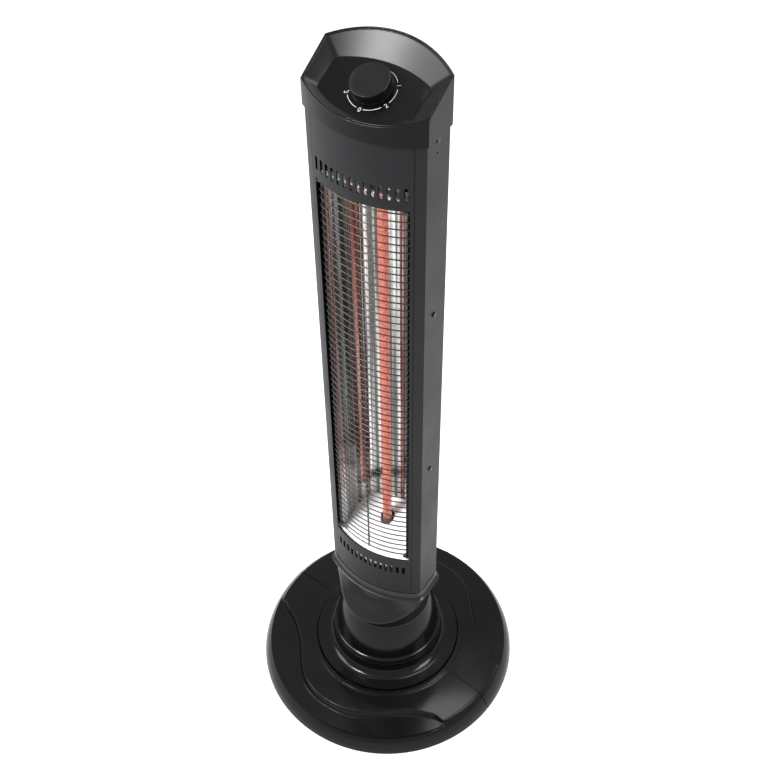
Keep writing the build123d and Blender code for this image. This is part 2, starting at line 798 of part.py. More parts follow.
def make_counterweight():
    """A cast ring that lies on the plate."""
    floor = base_bottom + plate_wall + 0.1
    return tube(weight_outer, weight_inner, floor, floor + weight_height)


def make_swivel_ring():
    """The ring on which the pedestal's disc slides, on three feet that stand on the counterweight."""
    floor = base_bottom + plate_wall + 0.2 + weight_height
    top = disc_bottom - glide
    ring = tube(ring_outer, ring_inner, top - 4, top)
    for i in range(3):
        ring += Rot(0, 0, 30 + 120 * i) * (Pos(94, 0, (floor + top - 3) / 2) * Box(10, 20, top - 3 - floor))
    return ring


def make_swing_motor():
    """The slow geared motor that turns the tower to and fro, with a bore for its shaft."""
    floor = base_bottom + plate_wall + 0.1
    body = round_bar(motor_diameter / 2, floor, floor + motor_height)
    return body - round_bar(swing_shaft_diameter / 2 + shaft_running, floor + 5, floor + motor_height + 1)


def make_cable_gland():
    """The grommet at the rear of the base, through which the mains cord would go in."""
    ring = Rot(90, 0, 0) * (Cylinder(gland_diameter / 2, 5) - Cylinder(gland_bore / 2, 7))
    return Pos(0, base_radius - 4.6, gland_z) * ring


def cut_for_gland(cover):
    """The rear cover with the hole that holds the gland."""
    hole = Pos(0, base_radius, gland_z) * Rot(90, 0, 0) * Cylinder(gland_diameter / 2 + 0.1, 40)
    return cover - hole


nodes = {
    "base_cover_front": make_base_cover(0),
    "base_cover_rear": cut_for_gland(make_base_cover(180)),
    "base_plate": make_base_plate(),
    "counterweight": make_counterweight(),
    "rubber_feet": make_rubber_feet(),
    "base_screws": make_base_screws(),
    "swing_motor": make_swing_motor(),
    "swivel_ring": make_swivel_ring(),
    "cable_gland": make_cable_gland(),
    "pedestal": make_pedestal(),
    "swivel_hub": make_swivel_hub(),
    "swing_shaft": make_swing_shaft(),
    "column_screws": make_column_screws(),
    "neck_collar": make_neck_collar(),
    "bottom_bracket": make_bottom_bracket(),
    "housing_shell": make_housing_shell(),
    "front_frame": make_front_frame(),
    "grille": make_grille(),
    "grille_clips": make_grille_clips(),
    "reflector": make_reflector(),
    "reflector_floor": make_reflector_floor(),
    "reflector_ceiling": make_reflector_ceiling(),
    "lamp_tube": make_lamp_tube(),
    "lamp_filament": make_lamp_filament(),
    "lamp_end_caps": make_lamp_end_caps(),
    "lamp_holders": make_lamp_holders(),
    "heat_shield": make_heat_shield(),
    "thermal_cutout": make_thermal_cutout(),
    "terminal_block": make_terminal_block(),
    "tilt_switch": make_tilt_switch(),
    "top_bracket": make_top_bracket(),
    "rotary_switch": make_rotary_switch(),
    "switch_shaft": make_switch_shaft(),
    "top_cap": make_top_cap(),
    "control_panel": make_control_panel(),
    "knob": make_knob(),
    "side_screws": make_side_screws(),
    "cap_screws": make_cap_screws(),
}

os.makedirs("parts", exist_ok=True)
for name, shape in nodes.items():
    export_step(shape, f"parts/{name}.step")
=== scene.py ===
import math

import bpy
import numpy as np
from mathutils import Matrix


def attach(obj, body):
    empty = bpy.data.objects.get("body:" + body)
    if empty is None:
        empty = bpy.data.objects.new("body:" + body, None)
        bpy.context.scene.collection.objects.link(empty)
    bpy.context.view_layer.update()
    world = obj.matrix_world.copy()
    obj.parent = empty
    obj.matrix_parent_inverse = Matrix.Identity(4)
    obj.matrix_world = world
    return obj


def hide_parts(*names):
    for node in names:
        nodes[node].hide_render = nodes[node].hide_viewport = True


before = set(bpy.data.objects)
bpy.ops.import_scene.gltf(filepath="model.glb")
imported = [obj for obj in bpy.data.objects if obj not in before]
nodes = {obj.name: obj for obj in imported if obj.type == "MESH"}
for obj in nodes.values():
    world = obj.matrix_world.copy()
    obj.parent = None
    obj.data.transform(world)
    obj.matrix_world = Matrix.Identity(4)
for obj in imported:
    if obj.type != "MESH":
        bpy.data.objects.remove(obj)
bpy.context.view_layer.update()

MM = 0.001

# Camera: place in metres, angles in degrees, focal length in pixels of the frame, and sensor in millimetres
CAMERA_PLACE = (0.5437, -0.8536, 1.6352)
CAMERA_TURN = 32.05
CAMERA_DIP = 46.65
CAMERA_ROLL = -0.67
FOCAL_PIXELS = 1225.74
FRAME_PIXELS = 780
SENSOR = 36.0

# Tower section, in millimetres: two flat sides, and bows of one radius in front and behind
HALF_WIDTH = 70
BOW_RADIUS = 122.4
BOW_CENTRE_Y = 75.01
REAR_BOW_CENTRE_Y = -82.41

# The joint between the front frame and the strips of the housing beside it
SEAM_X = 59.8
SEAM_WIDTH = 1.3

# Edges that turn by more than this many degrees stay sharp
SHARP_EDGE = 38

# Flats of a piece that is turned about an axis
TURN_STEPS = 180


# Meshes from surfaces
def add_object(name, data):
    """A new object of the scene, at the origin."""
    thing = bpy.data.objects.new(name, data)
    bpy.context.scene.collection.objects.link(thing)
    return thing


def make_mesh(name, points, faces, smooth=True):
    """A mesh object at the origin from points in millimetres and faces as rows of indices."""
    mesh = bpy.data.meshes.new(name)
    mesh.from_pydata((np.asarray(points) * MM).tolist(), [], [list(face) for face in faces])
    mesh.polygons.foreach_set("use_smooth", np.full(len(mesh.polygons), smooth))
    mesh.update()
    mesh.set_sharp_from_angle(angle=math.radians(SHARP_EDGE))
    return add_object(name, mesh)


def grid_faces(rows, columns, closed_rows=False, closed_columns=False, start=0):
    """Quads over a grid of rows by columns, where a closed direction joins its last line to its first."""
    row_count = rows if closed_rows else rows - 1
    column_count = columns if closed_columns else columns - 1
    i, j = np.meshgrid(np.arange(row_count), np.arange(column_count), indexing="ij")
    i2 = (i + 1) % rows
    j2 = (j + 1) % columns
    quads = np.stack([i * columns + j, i * columns + j2, i2 * columns + j2, i2 * columns + j], axis=-1)
    return quads.reshape(-1, 4) + start


def end_faces(rows, columns, start=0):
    """The two flat faces that close the first and the last ring of a grid of rows by columns."""
    last = start + (rows - 1) * columns
    return [range(start + columns - 1, start - 1, -1), range(last, last + columns)]


def turned_points(profile):
    """A profile turned about the Z axis: its point (r, z) goes to (r cos a, r sin a, z) at each angle a."""
    profile = np.asarray(profile, float)
    turn = np.arange(TURN_STEPS) * 2 * np.pi / TURN_STEPS
    ring = np.stack([np.cos(turn), np.sin(turn)], axis=1)
    flat = profile[None, :, :1] * ring[:, None, :]
    height = np.broadcast_to(profile[None, :, 1:], flat.shape[:2] + (1,))
    return np.concatenate([flat, height], axis=2).reshape(-1, 3)


def round_corner(corner, before, after, radius, steps=5):
    """Points of a small curve that rounds a corner: (1-t)(1-t) start + 2t(1-t) corner + tt end."""
    corner, before, after = (np.asarray(point, float) for point in (corner, before, after))
    into = (before - corner) / np.linalg.norm(before - corner)
    out = (after - corner) / np.linalg.norm(after - corner)
    t = np.linspace(0, 1, steps)[:, None]
    start, end = corner + into * radius, corner + out * radius
    return (1 - t) ** 2 * start + 2 * t * (1 - t) * corner + t ** 2 * end


def rounded(points, radii):
    """A closed outline whose corners are rounded, each by its own radius, 0 for a sharp one."""
    result = []
    for i, (point, radius) in enumerate(zip(points, radii)):
        if radius:
            result += list(round_corner(point, points[i - 1], points[(i + 1) % len(points)], radius))
        else:
            result.append(point)
    return np.array(result, float)


def arc_through(first, middle, last, count):
    """Points of the circular arc that runs through three points of a profile."""
    (ax, ay), (bx, by), (cx, cy) = first, middle, last
    size = 2 * (ax * (by - cy) + bx * (cy - ay) + cx * (ay - by))
    a2, b2, c2 = ax ** 2 + ay ** 2, bx ** 2 + by ** 2, cx ** 2 + cy ** 2
    centre = np.array([(a2 * (by - cy) + b2 * (cy - ay) + c2 * (ay - by)) / size,
                       (a2 * (cx - bx) + b2 * (ax - cx) + c2 * (bx - ax)) / size])
    start, end = np.array(first) - centre, np.array(last) - centre
    sweep = math.atan2(start[0] * end[1] - start[1] * end[0], float(start @ end))
    turn = math.atan2(start[1], start[0]) + np.linspace(0, sweep, count)
    return centre + np.hypot(*start) * np.stack([np.cos(turn), np.sin(turn)], axis=1)


def curve_through(x, y, at):
    """A smooth curve through given points: cubic pieces with slopes taken from their neighbours."""
    x, y = np.asarray(x, float), np.asarray(y, float)
    slope = np.gradient(y, x)
    i = np.clip(np.searchsorted(x, at) - 1, 0, len(x) - 2)
    step = x[i + 1] - x[i]
    t = np.clip((at - x[i]) / step, 0, 1)
    return ((2 * t ** 3 - 3 * t ** 2 + 1) * y[i] + (t ** 3 - 2 * t ** 2 + t) * step * slope[i]
            + (3 * t ** 2 - 2 * t ** 3) * y[i + 1] + (t ** 3 - t ** 2) * step * slope[i + 1])


def smooth_step(x):
    """Rises softly from 0 to 1 while x goes from 0 to 1."""
    x = np.clip(x, 0, 1)
    return x * x * (3 - 2 * x)


def tube_along(path, radius, sides):
    """Points of a round tube: at each path point a ring of the given radius, square to the path."""
    path = np.asarray(path, float)
    along = np.gradient(path, axis=0)
    along /= np.linalg.norm(along, axis=1, keepdims=True)
    helper = np.where(np.abs(along[:, 2:3]) > 0.9, [[1.0, 0, 0]], [[0, 0, 1.0]])
    across = np.cross(along, helper)
    across /= np.linalg.norm(across, axis=1, keepdims=True)
    up = np.cross(across, along)
    angle = np.arange(sides) * 2 * np.pi / sides
    ring = np.cos(angle)[None, :, None] * across[:, None] + np.sin(angle)[None, :, None] * up[:, None]
    return path[:, None] + radius * ring


def make_tubes(name, tubes, looped=False, place=None):
    """One mesh of round tubes, each a path, a radius and a count of sides, looped or with flat ends."""
    points, faces, start = [], [], 0
    for path, radius, sides in tubes:
        points.append(tube_along(path, radius, sides).reshape(-1, 3))
        faces += list(grid_faces(len(path), sides, looped, True, start))
        if not looped:
            faces += end_faces(len(path), sides, start)
        start += len(path) * sides
    points = np.concatenate(points)
    return make_mesh(name, place(points) if place else points, faces)


def dress(piece, material, body, replaces=()):
    """Gives a new piece its material, its body and the nodes that it stands for."""
    piece.data.materials.append(material)
    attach(piece, body)
    if replaces:
        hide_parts(*replaces)


# Shader nodes
def new_material(name):
    """A new material, its node tree and its shader."""
    material = bpy.data.materials.new(name)
    material.use_nodes = True
    return material, material.node_tree, material.node_tree.nodes["Principled BSDF"]


def place_parts(tree):
    """The X, Y and Z of each point on the object, in metres."""
    place = tree.nodes.new("ShaderNodeTexCoord")
    parts = tree.nodes.new("ShaderNodeSeparateXYZ")
    tree.links.new(place.outputs["Object"], parts.inputs["Vector"])
    return parts.outputs


def math_node(tree, operation, *values):
    """A math node whose inputs are sockets to link or plain numbers."""
    node = tree.nodes.new("ShaderNodeMath")
    node.operation = operation
    for socket, value in zip(node.inputs, values):
        if isinstance(value, bpy.types.NodeSocket):
            tree.links.new(value, socket)
        else:
            socket.default_value = value
    return node.outputs[0]


def ramp(tree, source, low, high, low_value, high_value):
    """Maps a value between two marks to a value between two others."""
    node = tree.nodes.new("ShaderNodeMapRange")
    marks = {"From Min": low, "From Max": high, "To Min": low_value, "To Max": high_value}
    for label, value in marks.items():
        node.inputs[label].default_value = value
    tree.links.new(source, node.inputs["Value"])
    return node.outputs["Result"]


def colour_mix(tree, mask, first, second):
    """Mixes two colours by a mask. The first one may be a socket."""
    node = tree.nodes.new("ShaderNodeMix")
    node.data_type = "RGBA"
    if isinstance(first, bpy.types.NodeSocket):
        tree.links.new(first, node.inputs["A"])
    else:
        node.inputs["A"].default_value = (*first, 1)
    node.inputs["B"].default_value = (*second, 1)
    tree.links.new(mask, node.inputs["Factor"])
    return node.outputs["Result"]


def add_bump(tree, shader, height, strength, distance):
    """Turns a height into the shader's normal."""
    bump = tree.nodes.new("ShaderNodeBump")
    bump.inputs["Strength"].default_value = strength
    bump.inputs["Distance"].default_value = distance
    tree.links.new(height, bump.inputs["Height"])
    tree.links.new(bump.outputs["Normal"], shader.inputs["Normal"])


def new_group(name, inputs, outputs):
    """A shader node group with named number inputs and outputs, ready to be filled."""
    group = bpy.data.node_groups.new(name, "ShaderNodeTree")
    for label, value in inputs.items():
        socket = group.interface.new_socket(label, in_out="INPUT", socket_type="NodeSocketFloat")
        socket.default_value = value
    for label in outputs:
        group.interface.new_socket(label, in_out="OUTPUT", socket_type="NodeSocketFloat")
    return group, group.nodes.new("NodeGroupInput"), group.nodes.new("NodeGroupOutput")


def make_grain_group():
    """Fine grain of moulded plastic or powder coat, as a height, and wide soft patches, as a mask."""
    group, given, result = new_group(
        "surface_grain", {"Scale": 2500.0, "Patch Scale": 12.0}, ["Height", "Patches"])
    place = group.nodes.new("ShaderNodeTexCoord")
    for scale, detail, output in (("Scale", 3, "Height"), ("Patch Scale", 4, "Patches")):
        noise = group.nodes.new("ShaderNodeTexNoise")
        noise.inputs["Detail"].default_value = detail
        group.links.new(place.outputs["Object"], noise.inputs["Vector"])
        group.links.new(given.outputs[scale], noise.inputs["Scale"])
        group.links.new(noise.outputs["Fac"], result.inputs[output])
    return group


grain_group = make_grain_group()


def add_grain(tree, scale, patch_scale=12.0):
    """Places the grain group in a material with its own scales."""
    grain = tree.nodes.new("ShaderNodeGroup")
    grain.node_tree = grain_group
    grain.inputs["Scale"].default_value = scale
    grain.inputs["Patch Scale"].default_value = patch_scale
    return grain.outputs


# Finishes, whose grain has this depth in metres
GRAIN_DEPTH = 0.0001


def grained(name, dark, light, roughness, grain_scale, grain_height, metallic=0.0, specular=0.5,
            patch_scale=14.0, seam=False):
    """A material with a fine grain, soft patches of tone and a roughness that drifts with them.

    With a seam, the narrow joint at SEAM_X on both sides of the middle is nearly black."""
    material, tree, shader = new_material(name)
    grain = add_grain(tree, grain_scale, patch_scale)
    colour = colour_mix(tree, grain["Patches"], dark, light)
    if seam:
        away = math_node(tree, "ABSOLUTE", place_parts(tree)["X"])
        joint = math_node(tree, "COMPARE", away, SEAM_X * MM, SEAM_WIDTH / 2 * MM)
        colour = colour_mix(tree, joint, colour, (0.002, 0.002, 0.002))
    tree.links.new(colour, shader.inputs["Base Color"])
    tree.links.new(ramp(tree, grain["Patches"], 0.3, 0.7, *roughness), shader.inputs["Roughness"])
    add_bump(tree, shader, grain["Height"], grain_height, GRAIN_DEPTH)
    shader.inputs["Metallic"].default_value = metallic
    shader.inputs["Specular IOR Level"].default_value = specular
    return material


gloss_black = grained("gloss_black", (0.0025, 0.0025, 0.003), (0.004, 0.004, 0.0045), (0.12, 0.18),
                      1800, 0.03, specular=0.13)
cap_black = grained("cap_black", (0.003, 0.003, 0.0035), (0.0045, 0.0045, 0.005), (0.26, 0.31),
                    1800, 0.03, specular=0.12)
satin_black = grained("satin_black", (0.0025, 0.0025, 0.003), (0.004, 0.004, 0.0045), (0.24, 0.30),
                      2600, 0.15, specular=0.14)
collar_black = grained("collar_black", (0.0035, 0.0035, 0.004), (0.005, 0.005, 0.0055), (0.27, 0.33),
                       2600, 0.12, specular=0.26)
panel_black = grained("panel_black", (0.0015, 0.0015, 0.002), (0.002, 0.002, 0.0025), (0.30, 0.36),
                      2600, 0.1, specular=0.06)
powder_coat = grained("powder_coat", (0.0085, 0.0085, 0.0095), (0.0105, 0.0105, 0.0115), (0.40, 0.50),
                      3000, 0.25, specular=0.16, seam=True)
front_paint = grained("front_paint", (0.0075, 0.008, 0.009), (0.0095, 0.010, 0.011), (0.40, 0.50),
                      3000, 0.22, specular=0.16, seam=True)
dark_wire = grained("dark_wire", (0.022, 0.022, 0.022), (0.04, 0.04, 0.04), (0.22, 0.32),
                    1500, 0.1, metallic=0.6)
zinc = grained("zinc", (0.42, 0.42, 0.42), (0.55, 0.55, 0.56), (0.30, 0.45),
               500, 0.15, metallic=1.0, patch_scale=60)
cast_iron = grained("cast_iron", (0.03, 0.03, 0.03), (0.06, 0.055, 0.05), (0.6, 0.8),
                    700, 0.6, metallic=0.4)
foot_rubber = grained("foot_rubber", (0.012, 0.012, 0.012), (0.022, 0.022, 0.022), (0.7, 0.85),
                      1500, 0.5)
ceramic = grained("ceramic", (0.045, 0.04, 0.037), (0.09, 0.08, 0.07), (0.55, 0.7),
                  1200, 0.3)
slide_plastic = grained("slide_plastic", (0.7, 0.7, 0.66), (0.8, 0.8, 0.77), (0.4, 0.5),
                        1500, 0.1)
screw_steel = grained("screw_steel", (0.014, 0.014, 0.014), (0.024, 0.024, 0.024), (0.3, 0.4),
                      900, 0.15, metallic=0.8)
plate_white = grained("plate_white", (0.84, 0.84, 0.84), (0.90, 0.90, 0.90), (0.34, 0.44),
                      900, 0.05)
dial_white = grained("dial_white", (0.42, 0.42, 0.42), (0.52, 0.52, 0.52), (0.45, 0.55),
                     1500, 0.1)


def make_polished():
    """Bright rolled sheet whose slope changes in narrow upright bands, with painted reflections of a wavy
    mirror in the same bands: its colour goes from dark to bright there.
    """
    material, tree, shader = new_material("polished_sheet")
    place = tree.nodes.new("ShaderNodeTexCoord")
    stretch = tree.nodes.new("ShaderNodeMapping")
    stretch.inputs["Scale"].default_value = (260, 260, 2.2)
    bands = tree.nodes.new("ShaderNodeTexNoise")
    bands.inputs["Scale"].default_value = 1.0
    bands.inputs["Detail"].default_value = 3
    tree.links.new(place.outputs["Object"], stretch.inputs["Vector"])
    tree.links.new(stretch.outputs["Vector"], bands.inputs["Vector"])
    # The upright bands of dark and bright colour are painted reflections, not the sheet's own tone; the same
    # bands also set the slope.
    mask = ramp(tree, bands.outputs["Fac"], 0.42, 0.62, 0, 1)
    colour = colour_mix(tree, mask, (0.11, 0.105, 0.095), (0.74, 0.74, 0.73))
    tree.links.new(colour, shader.inputs["Base Color"])
    add_bump(tree, shader, bands.outputs["Fac"], 0.5, 0.0008)
    shader.inputs["Metallic"].default_value = 1.0
    shader.inputs["Roughness"].default_value = 0.12
    return material


# Where the lamp's glow begins and is full at its lower end, and at its upper end, in metres
GLOW_LOW = (0.300, 0.335)
GLOW_HIGH = (0.868, 0.845)


def make_glow(name, dim, bright, strength, roughness):
    """A glow in two tones with a fine grain, over a dull red body, that fades out at the lamp's ends."""
    material, tree, shader = new_material(name)
    mask = ramp(tree, add_grain(tree, 420)["Height"], 0.35, 0.65, 0, 1)
    tree.links.new(colour_mix(tree, mask, dim, bright), shader.inputs["Emission Color"])
    height = place_parts(tree)["Z"]
    low = ramp(tree, height, *GLOW_LOW, 0.05, strength)
    high = ramp(tree, height, *GLOW_HIGH, 0.02, strength)
    tree.links.new(math_node(tree, "MINIMUM", low, high), shader.inputs["Emission Strength"])
    shader.inputs["Base Color"].default_value = (0.25, 0.06, 0.04, 1)
    shader.inputs["Roughness"].default_value = roughness
    return material


polished_sheet = make_polished()
lamp_glow = make_glow("lamp_glow", (1.0, 0.16, 0.03), (1.0, 0.32, 0.08), 1.4, 0.5)
glowing_quartz = make_glow("glowing_quartz", (0.50, 0.06, 0.04), (0.95, 0.30, 0.20), 0.66, 0.12)

# The CAD nodes that stay in sight, by their finish
node_finishes = [
    (cap_black, ["top_cap"]),
    (panel_black, ["control_panel"]),
    (powder_coat, ["housing_shell"]),
    (front_paint, ["front_frame"]),
    (dark_wire, ["grille_clips"]),
    (polished_sheet, ["reflector"]),
    (plate_white, ["reflector_floor", "reflector_ceiling"]),
    (glowing_quartz, ["lamp_tube"]),
    (lamp_glow, ["lamp_filament"]),
    (ceramic, ["lamp_end_caps", "lamp_holders"]),
    (zinc, ["base_plate", "swing_motor", "swivel_hub", "swing_shaft", "bottom_bracket", "top_bracket",
            "heat_shield", "thermal_cutout"]),
    (cast_iron, ["counterweight"]),
    (foot_rubber, ["rubber_feet"]),
    (slide_plastic, ["swivel_ring", "terminal_block", "switch_shaft"]),
    (satin_black, ["tilt_switch", "rotary_switch"]),
    (screw_steel, ["base_screws", "column_screws", "side_screws", "cap_screws"]),
]
for finish, names in node_finishes:
    for name in names:
        for held in nodes[name].material_slots:
            held.material = finish


def round_edges(name, width):
    """Rounds a CAD node's sharp edges a little, so that they catch the light."""
    node = nodes[name]
    weld = node.modifiers.new("weld", "WELD")
    weld.merge_threshold = 0.00002
    bevel = node.modifiers.new("rounded_edges", "BEVEL")
    bevel.width = width * MM
    bevel.segments = 3
    bevel.limit_method = "ANGLE"
    bevel.angle_limit = math.radians(35)
    bevel.harden_normals = True


round_edges("control_panel", 0.3)

# Grille, in millimetres: bowed wires one above the other, and upright rods that touch them from behind
WIRE_BOW_RADIUS = 119.0
WIRE_HALF_TURN = math.radians(27.6)
WIRE_RADIUS = 0.8
WIRE_PITCH = 10.0
WIRE_FIRST_Z = 303.0
WIRE_LAST_Z = 873.0
ROD_RADIUS = 1.2
ROD_X = (-51.5, 0.0, 51.5)
ROD_MIDDLE_Z = 590
ROD_REACH = 5
WELD_DEPTH = 0.2


def make_grille():
    """Wires at x = R sin a, y = centre - R cos a, each at its own height, and rods just behind that arc."""
    turn = np.linspace(-WIRE_HALF_TURN, WIRE_HALF_TURN, 25)
    x = WIRE_BOW_RADIUS * np.sin(turn)
    y = BOW_CENTRE_Y - WIRE_BOW_RADIUS * np.cos(turn)
    count = round((WIRE_LAST_Z - WIRE_FIRST_Z) / WIRE_PITCH) + 1
    tubes = []
    for i in range(count):
        path = np.stack([x, y, np.full(len(turn), WIRE_FIRST_Z + i * WIRE_PITCH)], axis=1)
        tubes.append((path, WIRE_RADIUS, 10))
    back = WIRE_BOW_RADIUS - WIRE_RADIUS - ROD_RADIUS + WELD_DEPTH
    for rod_x in ROD_X:
        rod_y = BOW_CENTRE_Y - math.sqrt(back ** 2 - rod_x ** 2)
        heights = (WIRE_FIRST_Z - ROD_REACH, ROD_MIDDLE_Z, WIRE_LAST_Z + ROD_REACH)
        tubes.append(([(rod_x, rod_y, height) for height in heights], ROD_RADIUS, 12))
    return make_tubes("grille_wires", tubes)


dress(make_grille(), dark_wire, "tower", ["grille"])


# Pedestal
def make_pedestal():
    """A bowed column, a step ring with a groove, a quarter-round flare and a flat disc, turned about Z."""
    side = arc_through((60.6, 132.4), (69.5, 107), (76, 76.6), 24)
    step = [(76.3, 75.9), (77.6, 75.3), (78.6, 74.6), (79, 73.6), (79, 67.2), (78.2, 66.2), (79, 65.2)]
    turn = np.linspace(np.pi, np.pi * 1.5, 16)
    flare = np.array([93.0, 55.0]) + 14 * np.stack([np.cos(turn), np.sin(turn)], axis=1)
    rest = rounded([(105, 41), (105, 36), (18, 36), (18, 39), (73, 39), (72, 76), (66.5, 106), (59.5, 120),
                    (55.6, 127), (20, 127), (20, 133), (60.4, 133)], [0.8] + [0] * 10 + [0.4])
    profile = np.concatenate([side, step, flare, rest])
    faces = grid_faces(TURN_STEPS, len(profile), True, True)
    return make_mesh("pedestal_skin", turned_points(profile), faces)


dress(make_pedestal(), gloss_black, "tower", ["pedestal"])

# The wave line of the front cover, as angles in degrees and radii in millimetres, and its step's width
WAVE_ANGLES = [-172, -168, -163, -159, -148, -137, -126.5, -115, -106, -95.5, -86, -77, -69, -60, -51,
               -42.5, -36, -32, -30, -27]
WAVE_RADII = [200, 172, 159, 149, 136, 134, 139, 147, 150, 150, 149, 147, 142, 138.6, 139,
              144, 153.5, 164, 178, 200]
WAVE_STEP = 7.0

# Covers, in degrees: where the front one's middle lies, half of what it spans, and half of each seam's gap
COVER_MIDDLE = -97
COVER_HALF_SPAN = 90
SEAM_HALF_ANGLE = 0.2

# Covers, in millimetres: radii of the dome and the rim, the rim's outline, and the terrace's height and fall
DOME_START = 113.6
RIM_START = 171
RIM_END = 186
RIM_OUTLINE = arc_through((RIM_START, 32.45), (181, 20), (RIM_END, 8), 60)
TERRACE_Z = 27.0
TERRACE_FALL = 0.025


def cover_height(radius):
    """Height of the cover without the wave: a parabola in the radius for the dome, then the rim's arc."""
    dome = np.polyval(np.polyfit([113, 142, 169], [36.0, 35.6, 32.6], 2), radius)
    rim = np.interp(radius, RIM_OUTLINE[:, 0], RIM_OUTLINE[:, 1])
    return np.where(radius < RIM_START, dome, rim)


def make_cover(name, turned):
    """Half of the base's cover: a dome, a wave line that steps down to a terrace, and a rim, hollow below.

    For each angle the points run up the trim ring, outwards over the top, closer together on the step, and
    back inside. Past the wave line the height falls by a smooth step to the terrace where that is lower. A
    low bead, exp(-dd) of the distance d, follows the inner edge of the rim."""
    angle = np.linspace(COVER_MIDDLE - COVER_HALF_SPAN + SEAM_HALF_ANGLE,
                        COVER_MIDDLE + COVER_HALF_SPAN - SEAM_HALF_ANGLE, 300)
    wave = curve_through(WAVE_ANGLES, WAVE_RADII, angle)
    low = np.clip(wave - WAVE_STEP / 2, 116, 169)
    high = low + WAVE_STEP
    rim_radius = np.linspace(177.8, RIM_END, 16)
    radius = np.concatenate([
        np.linspace(DOME_START, low, 22, endpoint=False),
        np.linspace(low, high, 12),
        np.linspace(high, 177.4, 36)[1:],
        np.broadcast_to(rim_radius[:, None], (len(rim_radius), len(angle))),
    ]).T
    wave = wave[:, None]
    full = cover_height(radius)
    terrace = TERRACE_Z - (radius - 140) * TERRACE_FALL
    drop = np.maximum(full - terrace, 0) * smooth_step((radius - wave) / WAVE_STEP + 0.5)
    bead_radius = 171.5 + 4.8 * smooth_step((176 - wave) / 6)
    bead = 0.55 * np.exp(-((radius - bead_radius) / 1.1) ** 2)
    top = np.stack([radius, full - drop + bead], axis=-1)
    trim = rounded([(106, 30), (106, 38.2), (113, 38.2), (113.2, 36.2)], [0, 1.2, 1.2, 0])
    inside = np.array([(187, 3), (183, 3), (181, 9), (166, 22), (140, 22), (106, 29)], float)
    before, after = (np.broadcast_to(part, (len(angle), *part.shape)) for part in (trim, inside))
    outline = np.concatenate([before, top, after], axis=1)
    turn = np.radians(angle + turned)[:, None]
    points = np.stack([outline[..., 0] * np.cos(turn), outline[..., 0] * np.sin(turn), outline[..., 1]],
                      axis=-1)
    rows, columns = outline.shape[:2]
    faces = [*grid_faces(rows, columns, closed_columns=True), *end_faces(rows, columns)]
    return make_mesh(name, points.reshape(-1, 3), faces)


dress(make_cover("front_cover_skin", 0), gloss_black, "base", ["base_cover_front"])
dress(make_cover("rear_cover_skin", 180), gloss_black, "base", ["base_cover_rear"])

GLAND_Z = 13
GLAND_STEPS = 40


def make_gland():
    """A flat rubber ring round a blind bore: circles in x and z, with y on the rim's outline at each height.

    To that y the profile's own depth is added, and xx / 370 is taken off, as the rim curves away."""
    rim = RIM_OUTLINE[::-1]
    profile = np.array([(6.0, -3), (6.0, 0.2), (5.6, 0.6), (4.0, 0.6), (3.5, 0.2), (3.5, -3)])
    turn = np.arange(GLAND_STEPS)[:, None] * 2 * np.pi / GLAND_STEPS
    x = profile[None, :, 0] * np.cos(turn)
    z = GLAND_Z + profile[None, :, 0] * np.sin(turn)
    y = np.interp(z, rim[:, 1], rim[:, 0]) - x ** 2 / 370 + profile[None, :, 1]
    points = np.stack([x, y, z], axis=-1).reshape(-1, 3)
    return make_mesh("gland_ring", points, grid_faces(GLAND_STEPS, len(profile), True, True))


dress(make_gland(), foot_rubber, "base", ["cable_gland"])

# Neck, in millimetres: its foot, the lower edge of its upper band, its top, and the bore
NECK_FOOT_Z = 133.3
BAND_Z = 203.0
NECK_TOP_Z = 217.3
NECK_BORE = 38
NECK_STEPS = 288

# Heights of the neck, and how far its skin stands out from the tower's section there
NECK_GROWTH = ([133, 202.9, 203.3, 204.0, 204.7, 205.4, 206.5, 208.5, 212, 217.3],
               [1.3, -1.8, 2.0, 4.6, 5.4, 5.2, 3.6, 2.0, 1.0, 0.7])

# Heights and radii of the round foot
FOOT_OUTLINE = ([133.3, 134.0, 135.2, 136.6, 149], [60.9, 62.0, 62.3, 61.6, 62.7])

# The dish in front of the neck, in millimetres, and the lip that stands round it
DISH_HALF_WIDTH = 69.5
DISH_DROP = 51
DISH_DEPTH = 11.5
LIP_HEIGHT = 4.0


def neck_radius(turn, height):
    """Radius of the neck at an angle and a height.

    At the top it is the tower's section grown by NECK_GROWTH, nearly the least of the distances to its
    sides and bows. At the foot it is a circle, and a smooth step in height joins the two. In front, half an
    ellipse below the band is pressed in by a smooth step of its reach, 1 at its edge, and a lip exp(-dd)
    stands round it."""
    grow = np.interp(height, *NECK_GROWTH)
    bow = (BOW_RADIUS + grow) ** 2
    side = (HALF_WIDTH + grow) / np.maximum(np.abs(np.cos(turn)), 1e-6)
    front = BOW_CENTRE_Y * np.sin(turn) + np.sqrt(bow - (BOW_CENTRE_Y * np.cos(turn)) ** 2)
    rear = REAR_BOW_CENTRE_Y * np.sin(turn) + np.sqrt(bow - (REAR_BOW_CENTRE_Y * np.cos(turn)) ** 2)
    section = (side ** -30 + front ** -30 + rear ** -30) ** (-1 / 30)
    disc = np.interp(height, *FOOT_OUTLINE)
    radius = disc + (section - disc) * smooth_step((height - 149) / 54)
    reach = np.sqrt((radius * np.cos(turn) / DISH_HALF_WIDTH) ** 2 + ((BAND_Z - height) / DISH_DROP) ** 2)
    lip = LIP_HEIGHT * np.exp(-((reach - 1.05) / 0.10) ** 2)
    in_front = smooth_step(-np.sin(turn) / 0.4) * (height < BAND_Z)
    return radius - in_front * (DISH_DEPTH * smooth_step((1 - reach) / 0.5) - lip)


